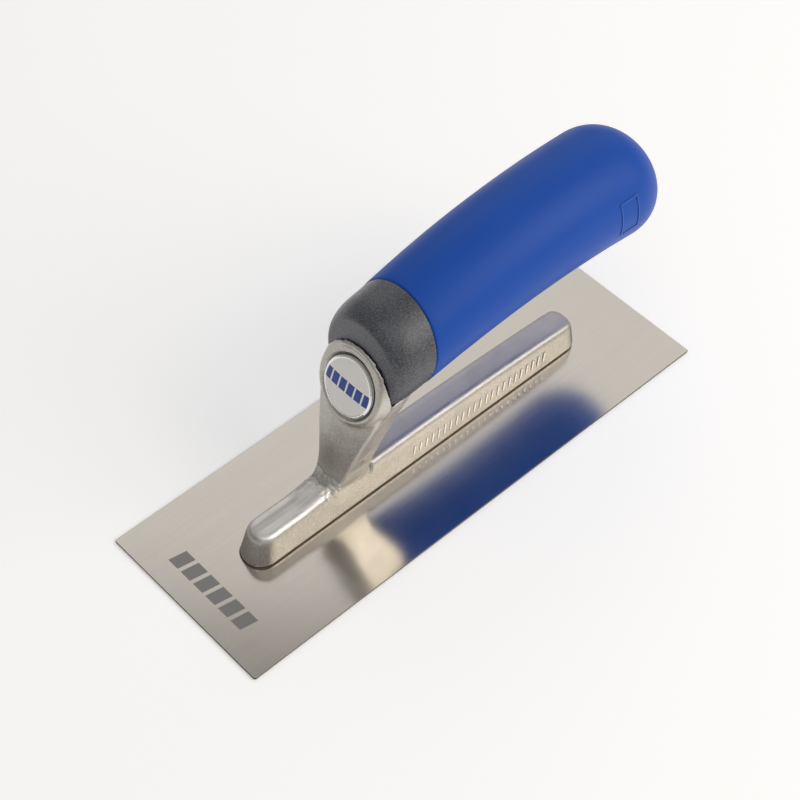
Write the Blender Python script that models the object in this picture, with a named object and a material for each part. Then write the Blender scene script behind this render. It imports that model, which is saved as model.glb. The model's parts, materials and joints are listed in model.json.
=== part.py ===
"""Steel finishing trowel: a flat blade under a cast bracket that carries a two-part handle.

The origin is the middle of the blade's working face. +X runs along the blade towards the
free end of the handle, +Y is across it and +Z is up. Every section is symmetric about y = 0.
"""

import math

import bmesh
import bpy

MM = 0.001
GAP = 0.3 * MM

# Blade
BLADE_LENGTH = 200 * MM
BLADE_WIDTH = 70 * MM
BLADE_THICKNESS = 0.7 * MM
BLADE_CORNER_RADIUS = 0.8 * MM
BLADE_EDGE_ROUNDING = 0.15 * MM

# Foot of the bracket: a long drafted bar that stands on the blade
FOOT_CLEARANCE = 0.2 * MM
FOOT_FRONT_X = -74.7 * MM
FOOT_REAR_X = 73.5 * MM
FOOT_HALF_WIDTH = 7.0 * MM
FOOT_DRAFT = 1.75 * MM
FOOT_FRONT_RAKE = 3.4 * MM
FOOT_REAR_RAKE = 1.6 * MM
FOOT_FRONT_RADIUS = 6.8 * MM
FOOT_REAR_RADIUS = 5.5 * MM
FOOT_EDGE_ROUNDING = 1.8 * MM
FOOT_CREST_X = -15 * MM
FOOT_CREST_Z = 14.7 * MM
FOOT_CREST_FALL = 0.40
FOOT_FRONT_TOP_Z = 12.9 * MM
FOOT_ARC_STEPS = 5
FOOT_SIDE_STEPS = 9

# Underside of the foot: adhesive pocket and stud sockets
POCKET_INSET = 1.4 * MM
POCKET_DEPTH = 0.8 * MM
BED_THICKNESS = 0.5 * MM
STUD_COUNT = 6
STUD_PITCH = 24 * MM
STUD_RADIUS = 2.5 * MM
STUD_NECK_RADIUS = 2.0 * MM
STUD_HEIGHT = 7.6 * MM
STUD_CHAMFER = 0.5 * MM
STUD_SIDES = 16

# Neck of the bracket, from inside the foot up to the head. Each station holds the height,
# the X of the front face at its middle and at its edges, the X of the rear face, and half
# the width at the front and at the rear.
NECK_STATIONS = (
    (8.0, -45.0, -44.0, -25.3, 5.6, 5.6),
    (12.5, -45.0, -43.5, -25.1, 5.2, 5.9),
    (14.0, -42.6, -41.4, -24.8, 5.6, 6.0),
    (16.5, -40.1, -38.9, -24.2, 6.3, 6.3),
    (20.5, -38.9, -37.5, -23.2, 7.0, 6.8),
    (26.5, -37.9, -36.0, -20.4, 8.5, 7.5),
    (32.5, -36.9, -34.6, -17.0, 10.0, 8.2),
    (38.5, -35.5, -32.9, -14.1, 11.6, 9.2),
    (43.5, -33.9, -31.3, -12.2, 12.8, 10.4),
    (48.5, -31.7, -29.6, -11.5, 13.5, 11.8),
    (54.0, -29.3, -28.0, -17.0, 14.0, 13.6),
    (60.0, -27.0, -26.6, -21.0, 13.0, 13.0),
)
NECK_FRONT_ROUNDING = 1.5 * MM
NECK_REAR_ROUNDING = 3.0 * MM
NECK_CROWN_STEPS = 4
NECK_CORNER_STEPS = 3

# Head of the bracket: a domed boss whose face leans back
HEAD_CENTRE_X = -30.3 * MM
HEAD_CENTRE_Z = 53.65 * MM
HEAD_LEAN = math.radians(20.4)
HEAD_FACE_RADIUS = 11.9 * MM
HEAD_RIM_X = -28.2 * MM
HEAD_RIM_Z = 53.2 * MM
HEAD_RIM_RADIUS = 14.1 * MM
HEAD_RIM_LEAN = math.radians(7.0)
HEAD_RIM_STEPS = 3
HEAD_BACK_X = -26.3 * MM
HEAD_BACK_Z = 53.65 * MM
HEAD_BACK_RADIUS = 15.0 * MM
HEAD_ROOT_X = -21.0 * MM
HEAD_ROOT_Z = 52.0 * MM
HEAD_ROOT_RADIUS = 12.5 * MM
RECESS_RADIUS = 11.4 * MM
RECESS_FLOOR_RADIUS = 10.8 * MM
RECESS_DEPTH = 1.1 * MM

# Badge: a printed foil under a domed drop of clear resin
BADGE_RADIUS = 10.3 * MM
BADGE_FOIL_THICKNESS = 0.2 * MM
BADGE_DOME_EDGE = 0.35 * MM
BADGE_DOME_RISE = 0.75 * MM
BADGE_DOME_STEPS = 5

# Tang of the bracket with a collar at its root, and the bore that they fill in the core
COLLAR_RADIUS = 8.4 * MM
COLLAR_OVERLAP = 0.3 * MM
COLLAR_LENGTH = 2.2 * MM
COLLAR_CHAMFER = 0.4 * MM
TANG_ROOT_X = -25.0 * MM
TANG_ROOT_Z = 57.0 * MM
TANG_END_X = 58.0 * MM
TANG_END_Z = 69.6 * MM
TANG_ROOT_RADIUS = 6.6 * MM
TANG_END_RADIUS = 5.8 * MM
TANG_GROOVE_DEPTH = 0.8 * MM
TANG_GROOVE_WIDTH = 3.0 * MM
TANG_GROOVES_X = (0.0, 20 * MM, 40 * MM)
TANG_CHAMFER = 1.2 * MM
BORE_END_X = 59.5 * MM

# Handle: the core shows between the head and the sleeve, and runs on inside the sleeve
HANDLE_SIDES = 48
CORE_FRONT_X = -25.4 * MM
CORE_FRONT_Z = 61.6 * MM
CORE_FRONT_RADIUS = 14.0 * MM
CORE_FRONT_LEAN = math.radians(6.4)
CORE_SHOULDER_RADIUS = 17.5 * MM
CORE_SHOULDER_SHARE = 0.52
CORE_STEPS = 9
SLEEVE_FRONT_X = -10.4 * MM
SLEEVE_FRONT_LEAN = math.radians(9.0)
SLEEVE_FRONT_RADIUS = 18.2 * MM
SLEEVE_TAPER = 0.0225
SLEEVE_WALL = 3.0 * MM
SLEEVE_LIP_ROUNDING = 0.5 * MM
SLEEVE_UPRIGHT_X = 22 * MM
HANDLE_CROWN_X = 54 * MM
HANDLE_CROWN_Z = 71.2 * MM
HANDLE_BOW = 1.75
HANDLE_END_X = 98.2 * MM
HANDLE_ROUNDING_LENGTH = 19 * MM
HANDLE_END_DROP = 0.6 * MM
HANDLE_END_POWER = 2.2
HANDLE_END_STEPS = 7
SHOULDER_X = (-4 * MM, 4 * MM, 14 * MM, 26 * MM, 40 * MM, 54 * MM, 68 * MM)
LOCK_GROOVES_X = (33 * MM, 61 * MM)
LOCK_GROOVE_WIDTH = 5 * MM
LOCK_GROOVE_DEPTH = 1.2 * MM


def clear_scene():
    for obj in list(bpy.data.objects):
        bpy.data.objects.remove(obj, do_unlink=True)


def material(name, colour, roughness, metallic=0.0, alpha=1.0):
    """A Principled material whose colour is linear RGB."""
    made = bpy.data.materials.new(name)
    made.use_nodes = True
    shader = made.node_tree.nodes["Principled BSDF"]
    shader.inputs["Base Color"].default_value = (*colour, 1.0)
    shader.inputs["Roughness"].default_value = roughness
    shader.inputs["Metallic"].default_value = metallic
    shader.inputs["Alpha"].default_value = alpha
    return made


def add_object(name, bm, surface, smooth_angle=30):
    """Turns a bmesh into a named object, with edges sharper than smooth_angle kept sharp."""
    bmesh.ops.recalc_face_normals(bm, faces=bm.faces)
    mesh = bpy.data.meshes.new(name)
    bm.to_mesh(mesh)
    bm.free()
    mesh.shade_smooth()
    mesh.set_sharp_from_angle(angle=math.radians(smooth_angle))
    obj = bpy.data.objects.new(name, mesh)
    bpy.context.scene.collection.objects.link(obj)
    if surface:
        mesh.materials.append(surface)
    return obj


def loft(name, rings, surface=None, smooth_angle=30):
    """Skins a row of rings and closes both ends.

    All rings have the same even number of points, and point i mirrors point n - 1 - i
    across y = 0, so each end is closed by strips that run straight across.
    """
    bm = bmesh.new()
    loops = [[bm.verts.new(point) for point in ring] for ring in rings]
    count = len(loops[0])
    for near, far in zip(loops, loops[1:]):
        for i in range(count):
            j = (i + 1) % count
            bm.faces.new((near[i], near[j], far[j], far[i]))
    for end in (loops[0], loops[-1]):
        for i in range(count // 2 - 1):
            bm.faces.new((end[i], end[i + 1], end[-2 - i], end[-1 - i]))
    return add_object(name, bm, surface, smooth_angle)


def circle(x, z, radius, lean=0.0, sides=HANDLE_SIDES):
    """A ring round (x, 0, z) whose top leans towards +X by the angle lean."""
    points = []
    for i in range(sides):
        angle = 2 * math.pi * (i + 0.5) / sides
        up = radius * math.cos(angle)
        points.append((x + up * math.sin(lean), -radius * math.sin(angle), z + up * math.cos(lean)))
    return points


def cut(target, cutter, operation="DIFFERENCE"):
    """Adds an exact Boolean and turns its operand into a hidden helper."""
    cutter.hide_render = True
    cutter.display_type = "WIRE"
    modifier = target.modifiers.new(cutter.name, "BOOLEAN")
    modifier.operation = operation
    modifier.solver = "EXACT"
    modifier.object = cutter


def upright_bar(name, x, radius, low, high, sides):
    """A round bar that stands on the blade, used for stud sockets and stud holes."""
    bm = bmesh.new()
    bmesh.ops.create_cone(
        bm, cap_ends=True, segments=sides, radius1=radius, radius2=radius, depth=high - low
    )
    bmesh.ops.translate(bm, verts=bm.verts, vec=(x, 0, (low + high) / 2))
    return add_object(name, bm, None)


def stud_positions():
    return [(i - (STUD_COUNT - 1) / 2) * STUD_PITCH for i in range(STUD_COUNT)]


# Blade


def make_blade(surface):
    bm = bmesh.new()
    bmesh.ops.create_cube(bm, size=1)
    bmesh.ops.scale(bm, verts=bm.verts, vec=(BLADE_LENGTH, BLADE_WIDTH, BLADE_THICKNESS))
    bmesh.ops.translate(bm, verts=bm.verts, vec=(0, 0, BLADE_THICKNESS / 2))
    upright = [e for e in bm.edges if abs(e.verts[0].co.z - e.verts[1].co.z) > BLADE_THICKNESS / 2]
    bmesh.ops.bevel(
        bm, geom=upright, offset=BLADE_CORNER_RADIUS, segments=3, profile=0.5, affect="EDGES"
    )
    blade = add_object("blade", bm, surface)
    rounding = blade.modifiers.new("edge_rounding", "BEVEL")
    rounding.width = BLADE_EDGE_ROUNDING
    rounding.segments = 1
    rounding.limit_method = "ANGLE"
    rounding.angle_limit = math.radians(60)
    return blade


# Foot, pocket, studs and adhesive


def foot_top(x):
    """Height of the foot's crest: highest behind the neck, falling towards the rear end."""
    if x < FOOT_CREST_X - 25 * MM:
        return FOOT_FRONT_TOP_Z
    return FOOT_CREST_Z - FOOT_CREST_FALL * max(0.0, x - FOOT_CREST_X) ** 2


def bar_outline(front_x, rear_x, half_width, front_radius, rear_radius, height):
    """Plan outline of a bar with rounded ends. height(x) gives Z, and the points mirror."""
    side = []
    for centre_x, radius, start in (
        (rear_x - rear_radius, rear_radius, 0),
        (front_x + front_radius, front_radius, 90),
    ):
        for step in range(FOOT_ARC_STEPS + 1):
            angle = math.radians(start + 90 * step / FOOT_ARC_STEPS)
            x = centre_x + radius * math.cos(angle)
            side.append((x, half_width - radius + radius * math.sin(angle)))
        if start == 0:
            reach = side[-1][0] - (front_x + front_radius)
            side += [
                (side[FOOT_ARC_STEPS][0] - reach * step / (FOOT_SIDE_STEPS + 1), half_width)
                for step in range(1, FOOT_SIDE_STEPS + 1)
            ]
    mirrored = [(x, -y) for x, y in side]
    return [(x, y, height(x)) for x, y in mirrored + side[::-1]]


def foot_ring(drop, inset):
    """Outline of the drafted foot at the given drop below its crest, pulled in by inset."""
    rise = 1 - drop / FOOT_CREST_Z
    draft = FOOT_DRAFT * rise + inset
    return bar_outline(
        FOOT_FRONT_X + FOOT_FRONT_RAKE * rise + inset,
        FOOT_REAR_X - FOOT_REAR_RAKE * rise - inset,
        FOOT_HALF_WIDTH - draft,
        FOOT_FRONT_RADIUS - draft,
        FOOT_REAR_RADIUS - draft,
        lambda x: foot_top(x) - drop,
    )


def base_ring(inset, z):
    """Outline of the foot's underside pulled in by inset, at one height."""
    return bar_outline(
        FOOT_FRONT_X + inset,
        FOOT_REAR_X - inset,
        FOOT_HALF_WIDTH - inset,
        FOOT_FRONT_RADIUS - inset,
        FOOT_REAR_RADIUS - inset,
        lambda x: z,
    )


def make_foot():
    rings = [base_ring(0, BLADE_THICKNESS + FOOT_CLEARANCE)]
    for step in range(4):
        angle = math.radians(90 * step / 3)
        drop = FOOT_EDGE_ROUNDING * (1 - math.sin(angle))
        rings.append(foot_ring(drop, FOOT_EDGE_ROUNDING * (1 - math.cos(angle))))
    return loft("foot_form", rings)


def make_pocket():
    floor = BLADE_THICKNESS + FOOT_CLEARANCE
    rings = [base_ring(POCKET_INSET, floor - 1 * MM), base_ring(POCKET_INSET, floor + POCKET_DEPTH)]
    return loft("pocket_form", rings)


def make_adhesive_bed(surface):
    inset = POCKET_INSET + GAP
    low = BLADE_THICKNESS + GAP
    rings = [base_ring(inset, low), base_ring(inset, low + BED_THICKNESS)]
    bed = loft("adhesive_bed", rings, surface)
    for number, x in enumerate(stud_positions(), 1):
        name = "bed_hole_%d" % number
        cut(bed, upright_bar(name, x, STUD_RADIUS + GAP, 0, 5 * MM, STUD_SIDES))
    return bed


def make_stud(number, x, surface):
    low = BLADE_THICKNESS + FOOT_CLEARANCE
    high = low + STUD_HEIGHT
    profile = (
        (STUD_RADIUS, low),
        (STUD_RADIUS, low + 0.30 * STUD_HEIGHT),
        (STUD_NECK_RADIUS, low + 0.40 * STUD_HEIGHT),
        (STUD_NECK_RADIUS, low + 0.60 * STUD_HEIGHT),
        (STUD_RADIUS, low + 0.70 * STUD_HEIGHT),
        (STUD_RADIUS, high - STUD_CHAMFER),
        (STUD_RADIUS - STUD_CHAMFER, high),
    )
    rings = []
    for radius, z in profile:
        ring = circle(0, 0, radius, sides=STUD_SIDES)
        rings.append([(x + up, across, z) for _, across, up in ring])
    return loft("weld_stud_%d" % number, rings, surface)


# Neck and head


def corner_arc(centre, radius, start, sweep, steps):
    """Points of a round corner in plan, from the angle start through sweep, in degrees."""
    points = []
    for step in range(steps + 1):
        angle = math.radians(start + sweep * step / steps)
        points.append((centre[0] + radius * math.cos(angle), centre[1] + radius * math.sin(angle)))
    return points


def neck_section(z, middle_x, edge_x, rear_x, front_half, rear_half):
    """Level section of the neck: a crowned front face, round corners and a flat rear face."""
    front = NECK_FRONT_ROUNDING
    rear = NECK_REAR_ROUNDING
    side = corner_arc((rear_x - rear, rear_half - rear), rear, 0, 90, NECK_CORNER_STEPS)
    side += corner_arc((edge_x + front, front_half - front), front, 90, 75, NECK_CORNER_STEPS)
    last_x, last_y = side[-1]
    for step in range(1, NECK_CROWN_STEPS + 1):
        share = (step - 0.15) / NECK_CROWN_STEPS
        crown = last_x + (middle_x - last_x) * math.sin(share * math.pi / 2)
        side.append((crown, last_y * (1 - share)))
    side.insert(0, (rear_x, side[0][1] * 0.3))
    mirrored = [(x, -y) for x, y in side]
    return [(x, y, z) for x, y in mirrored + side[::-1]]


def make_neck():
    rings = []
    for station in NECK_STATIONS:
        rings.append(neck_section(*(value * MM for value in station)))
    return loft("neck_form", rings)


def head_point(depth):
    """X and Z of a point on the head's axis, depth behind the plane of its face."""
    return (
        HEAD_CENTRE_X + depth * math.cos(HEAD_LEAN),
        HEAD_CENTRE_Z - depth * math.sin(HEAD_LEAN),
    )


def make_head():
    rings = []
    for step in range(HEAD_RIM_STEPS + 1):
        share = step / HEAD_RIM_STEPS
        spread = math.sin(share * math.pi / 2)
        x = HEAD_CENTRE_X + share**2 * (HEAD_RIM_X - HEAD_CENTRE_X)
        z = HEAD_CENTRE_Z + share**2 * (HEAD_RIM_Z - HEAD_CENTRE_Z)
        radius = HEAD_FACE_RADIUS + spread * (HEAD_RIM_RADIUS - HEAD_FACE_RADIUS)
        lean = HEAD_LEAN + share**2 * (HEAD_RIM_LEAN - HEAD_LEAN)
        rings.append(circle(x, z, radius, lean))
    rings.append(circle(HEAD_BACK_X, HEAD_BACK_Z, HEAD_BACK_RADIUS, CORE_FRONT_LEAN))
    rings.append(circle(HEAD_ROOT_X, HEAD_ROOT_Z, HEAD_ROOT_RADIUS))
    return loft("head_form", rings)


def make_recess():
    rings = [
        circle(*head_point(-3 * MM), RECESS_RADIUS, HEAD_LEAN),
        circle(*head_point(0), RECESS_RADIUS, HEAD_LEAN),
        circle(*head_point(RECESS_DEPTH), RECESS_FLOOR_RADIUS, HEAD_LEAN),
    ]
    return loft("recess_form", rings)


def make_badge_foil(surface):
    low = RECESS_DEPTH - GAP
    rings = [
        circle(*head_point(low), BADGE_RADIUS, HEAD_LEAN),
        circle(*head_point(low - BADGE_FOIL_THICKNESS), BADGE_RADIUS, HEAD_LEAN),
    ]
    return loft("badge_foil", rings, surface)


def make_badge_dome(surface):
    low = RECESS_DEPTH - GAP - BADGE_FOIL_THICKNESS - GAP
    rings = [circle(*head_point(low), BADGE_RADIUS, HEAD_LEAN)]
    for step in range(BADGE_DOME_STEPS):
        angle = math.pi / 2 * step / BADGE_DOME_STEPS
        depth = low - BADGE_DOME_EDGE - BADGE_DOME_RISE * math.sin(angle)
        rings.append(circle(*head_point(depth), BADGE_RADIUS * math.cos(angle), HEAD_LEAN))
    return loft("badge_dome", rings, surface)


# Tang and bore


def tang_centre_z(x):
    share = (x - TANG_ROOT_X) / (TANG_END_X - TANG_ROOT_X)
    return TANG_ROOT_Z + share * (TANG_END_Z - TANG_ROOT_Z)


def tang_radius(x):
    share = (x - TANG_ROOT_X) / (TANG_END_X - TANG_ROOT_X)
    return TANG_ROOT_RADIUS + share * (TANG_END_RADIUS - TANG_ROOT_RADIUS)


def tang_ring(x, reduction=0.0):
    return circle(x, tang_centre_z(x), tang_radius(x) - reduction)


def collar_ring(depth, radius):
    """Ring of the tang's collar, at the given depth behind the core's front plane."""
    x = CORE_FRONT_X - (CORE_FRONT_Z - TANG_ROOT_Z) * math.tan(CORE_FRONT_LEAN) + depth
    return circle(x, TANG_ROOT_Z, radius, CORE_FRONT_LEAN)


def make_tang():
    rings = [
        collar_ring(-GAP - COLLAR_OVERLAP, COLLAR_RADIUS),
        collar_ring(COLLAR_LENGTH - COLLAR_CHAMFER, COLLAR_RADIUS),
        collar_ring(COLLAR_LENGTH, COLLAR_RADIUS - COLLAR_CHAMFER),
        collar_ring(COLLAR_LENGTH, TANG_ROOT_RADIUS),
    ]
    for x in TANG_GROOVES_X:
        half = TANG_GROOVE_WIDTH / 2
        slope = TANG_GROOVE_DEPTH
        rings.append(tang_ring(x - half - slope))
        rings.append(tang_ring(x - half, TANG_GROOVE_DEPTH))
        rings.append(tang_ring(x + half, TANG_GROOVE_DEPTH))
        rings.append(tang_ring(x + half + slope))
    rings.append(tang_ring(TANG_END_X - TANG_CHAMFER))
    rings.append(tang_ring(TANG_END_X, TANG_CHAMFER))
    return loft("tang_form", rings)


# Handle


def handle_centre_z(x):
    """Centre height of the grip, a shallow arch with its crown at HANDLE_CROWN_X."""
    return HANDLE_CROWN_Z - HANDLE_BOW * (x - HANDLE_CROWN_X) ** 2


def handle_radius(x):
    return SLEEVE_FRONT_RADIUS + SLEEVE_TAPER * (x - SLEEVE_FRONT_X)


def handle_lean(x):
    """Lean of the sections, from the sleeve's front plane to upright."""
    share = (SLEEVE_UPRIGHT_X - x) / (SLEEVE_UPRIGHT_X - SLEEVE_FRONT_X)
    return SLEEVE_FRONT_LEAN * max(0.0, share)


def handle_ring(x, inset=0.0):
    return circle(x, handle_centre_z(x), handle_radius(x) - inset, handle_lean(x))


def end_rings(inset):
    """Rings of the rounded free end, which droops a little towards the tip."""
    start = HANDLE_END_X - HANDLE_ROUNDING_LENGTH
    widest = handle_radius(start) - inset
    length = HANDLE_ROUNDING_LENGTH - inset
    rings = []
    for step in range(HANDLE_END_STEPS + 1):
        angle = math.pi / 2 * step / (HANDLE_END_STEPS + 0.35)
        x = start + length * math.sin(angle) ** (2 / HANDLE_END_POWER)
        radius = widest * math.cos(angle) ** (2 / HANDLE_END_POWER)
        droop = HANDLE_END_DROP * (x - start) / HANDLE_ROUNDING_LENGTH
        rings.append(circle(x, handle_centre_z(x) - droop, radius))
    return rings


def shoulder_section(share, outset):
    """Ring of the core's visible shoulder; share runs from 0 at the head to 1 at the sleeve."""
    end_z = handle_centre_z(SLEEVE_FRONT_X)
    x = CORE_FRONT_X + share * (SLEEVE_FRONT_X - CORE_FRONT_X)
    z = CORE_FRONT_Z + share * (end_z - CORE_FRONT_Z)
    rounding = max(0.0, 1 - share / CORE_SHOULDER_SHARE)
    full = CORE_SHOULDER_RADIUS + share * (SLEEVE_FRONT_RADIUS - GAP - CORE_SHOULDER_RADIUS)
    radius = CORE_FRONT_RADIUS + (full - CORE_FRONT_RADIUS) * math.sqrt(1 - rounding**2)
    lean = CORE_FRONT_LEAN + share * (SLEEVE_FRONT_LEAN - CORE_FRONT_LEAN)
    return circle(x, z, radius + outset, lean)


def shoulder_rings(outset=0.0):
    """Rings of the shoulder, closer together where it is rounded."""
    return [shoulder_section((i / CORE_STEPS) ** 2, outset) for i in range(CORE_STEPS + 1)]


def inner_rings(inset):
    """Rings of the core's hidden stretch, with its lock grooves, from the front to the end."""
    rings = []
    stops = sorted(SHOULDER_X + LOCK_GROOVES_X)
    for x in stops:
        if x not in LOCK_GROOVES_X:
            rings.append(handle_ring(x, inset))
            continue
        half = LOCK_GROOVE_WIDTH / 2
        rings.append(handle_ring(x - half - LOCK_GROOVE_DEPTH, inset))
        rings.append(handle_ring(x - half, inset + LOCK_GROOVE_DEPTH))
        rings.append(handle_ring(x + half, inset + LOCK_GROOVE_DEPTH))
        rings.append(handle_ring(x + half + LOCK_GROOVE_DEPTH, inset))
    return rings + end_rings(inset)


def make_core(surface):
    bore = [
        tang_ring(BORE_END_X, -GAP),
        collar_ring(COLLAR_LENGTH + GAP, TANG_ROOT_RADIUS + GAP),
        collar_ring(COLLAR_LENGTH + GAP, COLLAR_RADIUS + GAP),
        collar_ring(0, COLLAR_RADIUS + GAP),
    ]
    step_in = circle(
        SLEEVE_FRONT_X,
        handle_centre_z(SLEEVE_FRONT_X),
        handle_radius(SLEEVE_FRONT_X) - SLEEVE_WALL - GAP,
        SLEEVE_FRONT_LEAN,
    )
    rings = bore + shoulder_rings() + [step_in] + inner_rings(SLEEVE_WALL + GAP)
    return loft("handle_core", rings, surface, 40)


def make_sleeve(surface):
    lip_x = SLEEVE_FRONT_X + GAP
    rings = [handle_ring(lip_x, SLEEVE_LIP_ROUNDING), handle_ring(lip_x + SLEEVE_LIP_ROUNDING)]
    rings += [handle_ring(x) for x in SHOULDER_X]
    rings += end_rings(0.0)
    inside = [handle_ring(lip_x, SLEEVE_WALL)] + inner_rings(SLEEVE_WALL)
    return loft("grip_sleeve", inside[::-1] + rings, surface, 40)


def make_core_clearance():
    """Solid a gap larger than the core's shoulder, which shapes the saddle under it."""
    front = circle(CORE_FRONT_X - GAP, CORE_FRONT_Z, CORE_FRONT_RADIUS + GAP, CORE_FRONT_LEAN)
    beyond = handle_ring(SLEEVE_UPRIGHT_X, -2 * GAP)
    rings = [front] + shoulder_rings(2 * GAP) + [beyond]
    return loft("core_clearance", rings)


def make_bracket(surface):
    """One casting: foot, neck, head and tang, with its pocket, sockets and badge recess."""
    bracket = make_neck()
    bracket.name = "bracket"
    bracket.data.materials.append(surface)
    cut(bracket, make_head(), "UNION")
    cut(bracket, make_core_clearance())
    cut(bracket, make_foot(), "UNION")
    cut(bracket, make_tang(), "UNION")
    cut(bracket, make_recess())
    cut(bracket, make_pocket())
    roof = BLADE_THICKNESS + FOOT_CLEARANCE + STUD_HEIGHT + GAP
    for number, x in enumerate(stud_positions(), 1):
        name = "stud_socket_%d" % number
        cut(bracket, upright_bar(name, x, STUD_RADIUS + GAP, 0, roof, STUD_SIDES))
    return bracket


def main():
    clear_scene()
    steel = material("stainless_steel", (0.50, 0.47, 0.43), 0.25, 1.0)
    casting = material("cast_aluminium", (0.48, 0.45, 0.42), 0.45, 1.0)
    adhesive = material("brown_adhesive", (0.16, 0.08, 0.03), 0.5)
    hard_plastic = material("grey_hard_plastic", (0.08, 0.08, 0.09), 0.6)
    soft_plastic = material("blue_soft_plastic", (0.033, 0.10, 0.40), 0.55)
    foil = material("printed_foil", (0.50, 0.48, 0.46), 0.4)
    resin = material("clear_resin", (0.9, 0.9, 0.9), 0.05, 0.0, 0.35)
    make_blade(steel)
    make_bracket(casting)
    make_adhesive_bed(adhesive)
    for number, x in enumerate(stud_positions(), 1):
        make_stud(number, x, steel)
    make_core(hard_plastic)
    make_sleeve(soft_plastic)
    make_badge_foil(foil)
    make_badge_dome(resin)


main()
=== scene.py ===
"""Finishing trowel: the visual model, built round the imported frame.

Units are metres in the part's own frame. The origin is the middle of the blade's working
face, +X runs towards the free end of the handle and +Z is up.
"""

import json
import math

import bpy
from mathutils import Matrix, Vector

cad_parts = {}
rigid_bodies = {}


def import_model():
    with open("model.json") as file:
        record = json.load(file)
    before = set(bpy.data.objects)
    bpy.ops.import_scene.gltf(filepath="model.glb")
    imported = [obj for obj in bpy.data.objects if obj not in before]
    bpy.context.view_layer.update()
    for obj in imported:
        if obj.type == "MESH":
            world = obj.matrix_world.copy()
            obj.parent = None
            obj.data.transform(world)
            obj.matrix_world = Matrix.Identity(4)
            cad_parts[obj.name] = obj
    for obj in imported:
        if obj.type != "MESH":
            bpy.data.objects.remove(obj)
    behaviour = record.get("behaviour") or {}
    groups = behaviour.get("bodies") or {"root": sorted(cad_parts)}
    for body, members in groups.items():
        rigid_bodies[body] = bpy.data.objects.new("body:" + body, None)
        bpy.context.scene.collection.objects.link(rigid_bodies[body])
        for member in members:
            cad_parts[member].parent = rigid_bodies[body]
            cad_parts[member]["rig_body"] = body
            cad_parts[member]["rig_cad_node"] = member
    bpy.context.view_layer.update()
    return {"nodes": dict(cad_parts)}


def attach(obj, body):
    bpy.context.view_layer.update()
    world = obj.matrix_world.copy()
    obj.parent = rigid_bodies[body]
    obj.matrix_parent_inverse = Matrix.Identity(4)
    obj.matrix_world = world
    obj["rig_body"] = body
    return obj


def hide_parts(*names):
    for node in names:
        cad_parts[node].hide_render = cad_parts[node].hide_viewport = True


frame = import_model()

MM = 0.001
BODY = "root"

# Sizes shared by the pieces of the handle
GAP = 0.3 * MM
GRIP_FRONT_X = -10.4 * MM
GRIP_FRONT_LEAN = math.radians(9.0)
GRIP_FRONT_RADIUS = 18.2 * MM
GRIP_TAPER = 0.0225
GRIP_UPRIGHT_X = 22 * MM
GRIP_WALL = 3.0 * MM
GRIP_LIP = 0.7 * MM
GRIP_TRIM = 0.12 * MM
CROWN_X = 54 * MM
CROWN_Z = 71.2 * MM
BOW = 1.75
END_X = 98.2 * MM
END_LENGTH = 19 * MM
END_DROP = 0.6 * MM
END_POWER = 2.2
SHOULDER_FRONT_X = -25.4 * MM
SHOULDER_FRONT_Z = 61.6 * MM
SHOULDER_FRONT_RADIUS = 14.0 * MM
SHOULDER_FRONT_LEAN = math.radians(6.4)
SHOULDER_RADIUS = 17.5 * MM
SHOULDER_SHARE = 0.52
ROUND_SIDES = 96

# The core's bore round the tang, and the seat for its collar
BORE_END_X = 59.5 * MM
BORE_END_Z = 70.0 * MM
BORE_END_RADIUS = 6.0 * MM
THROAT_DEPTH = 2.5 * MM
THROAT_Z = 57.6 * MM
THROAT_RADIUS = 6.9 * MM
SEAT_DEPTH = 2.0 * MM
SEAT_OVERRUN = 0.5 * MM
SEAT_Z = 57.1 * MM
SEAT_RADIUS = 8.7 * MM

# The frame moulded on the grip
FRAME_X = 74 * MM
FRAME_Z = 73.3 * MM
FRAME_START_Y = -30 * MM
FRAME_LENGTH = 8 * MM
FRAME_HEIGHT = 12.6 * MM
FRAME_LINE = 0.5 * MM

# The badge, its print and the painted reflection at its rim
BADGE_Z = 53.65 * MM
BADGE_LEAN = math.radians(20.4)
PRINT_RADIUS = 9.9 * MM
DOT_RING_RADIUS = 9.3 * MM
DOTS_PER_METRE = 1100.0
SILVER_RIM_START = 9.3 * MM
SILVER_RIM_FULL = 9.6 * MM
BAND_PITCH = 3.4 * MM
BAND_CENTRE = 0.5 * MM
BAND_HALF_HEIGHT = 2.2 * MM
BAND_SHIFT = 15 * BAND_PITCH

# The row of bars etched on the blade
MARK_X = -88.6 * MM
MARK_HALF_HEIGHT = 3.3 * MM
MARK_PITCH = 6.2 * MM
MARK_COUNT = 6
MARK_CENTRE_Y = -1.0 * MM

# The casting and what shows on it
CASTING_ZONES = ("below_the_head", "dressed_corner", "side_crease")
CORNER_X = -42 * MM
CORNER_Z = 14.5 * MM
CREASE_X = -24.0 * MM
CREASE_Z = 15.5 * MM
CREASE_SLOPE = 0.29
FOOT_DRAFT = math.radians(6.8)
RELIEF_START_X = -6 * MM
RELIEF_SIDE_Y = -6.23 * MM
RELIEF_Z = 6.5 * MM
RELIEF_PITCH = 2.8 * MM
RELIEF_COUNT = 23
CASTING_VOXEL = 0.42 * MM
RELIEF_BAR = (0.85 * MM, 0.8 * MM, 4.0 * MM)
RELIEF_BAR_LEAN = math.radians(14)
RELIEF_SUNK = 0.19 * MM
FOOT_TOP_START = 18.0 * MM
FOOT_TOP_FULL = 15.5 * MM

# The adhesive and the studs under the foot
BEAD_X = -0.6 * MM
BEAD_BASE_Z = 0.72 * MM
BEAD_LENGTH = 147.7 * MM
BEAD_WIDTH = 13.8 * MM
BEAD_CORNER = 6.3 * MM
BEAD_THICKNESS = 0.22 * MM
STUD_COUNT = 6

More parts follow.
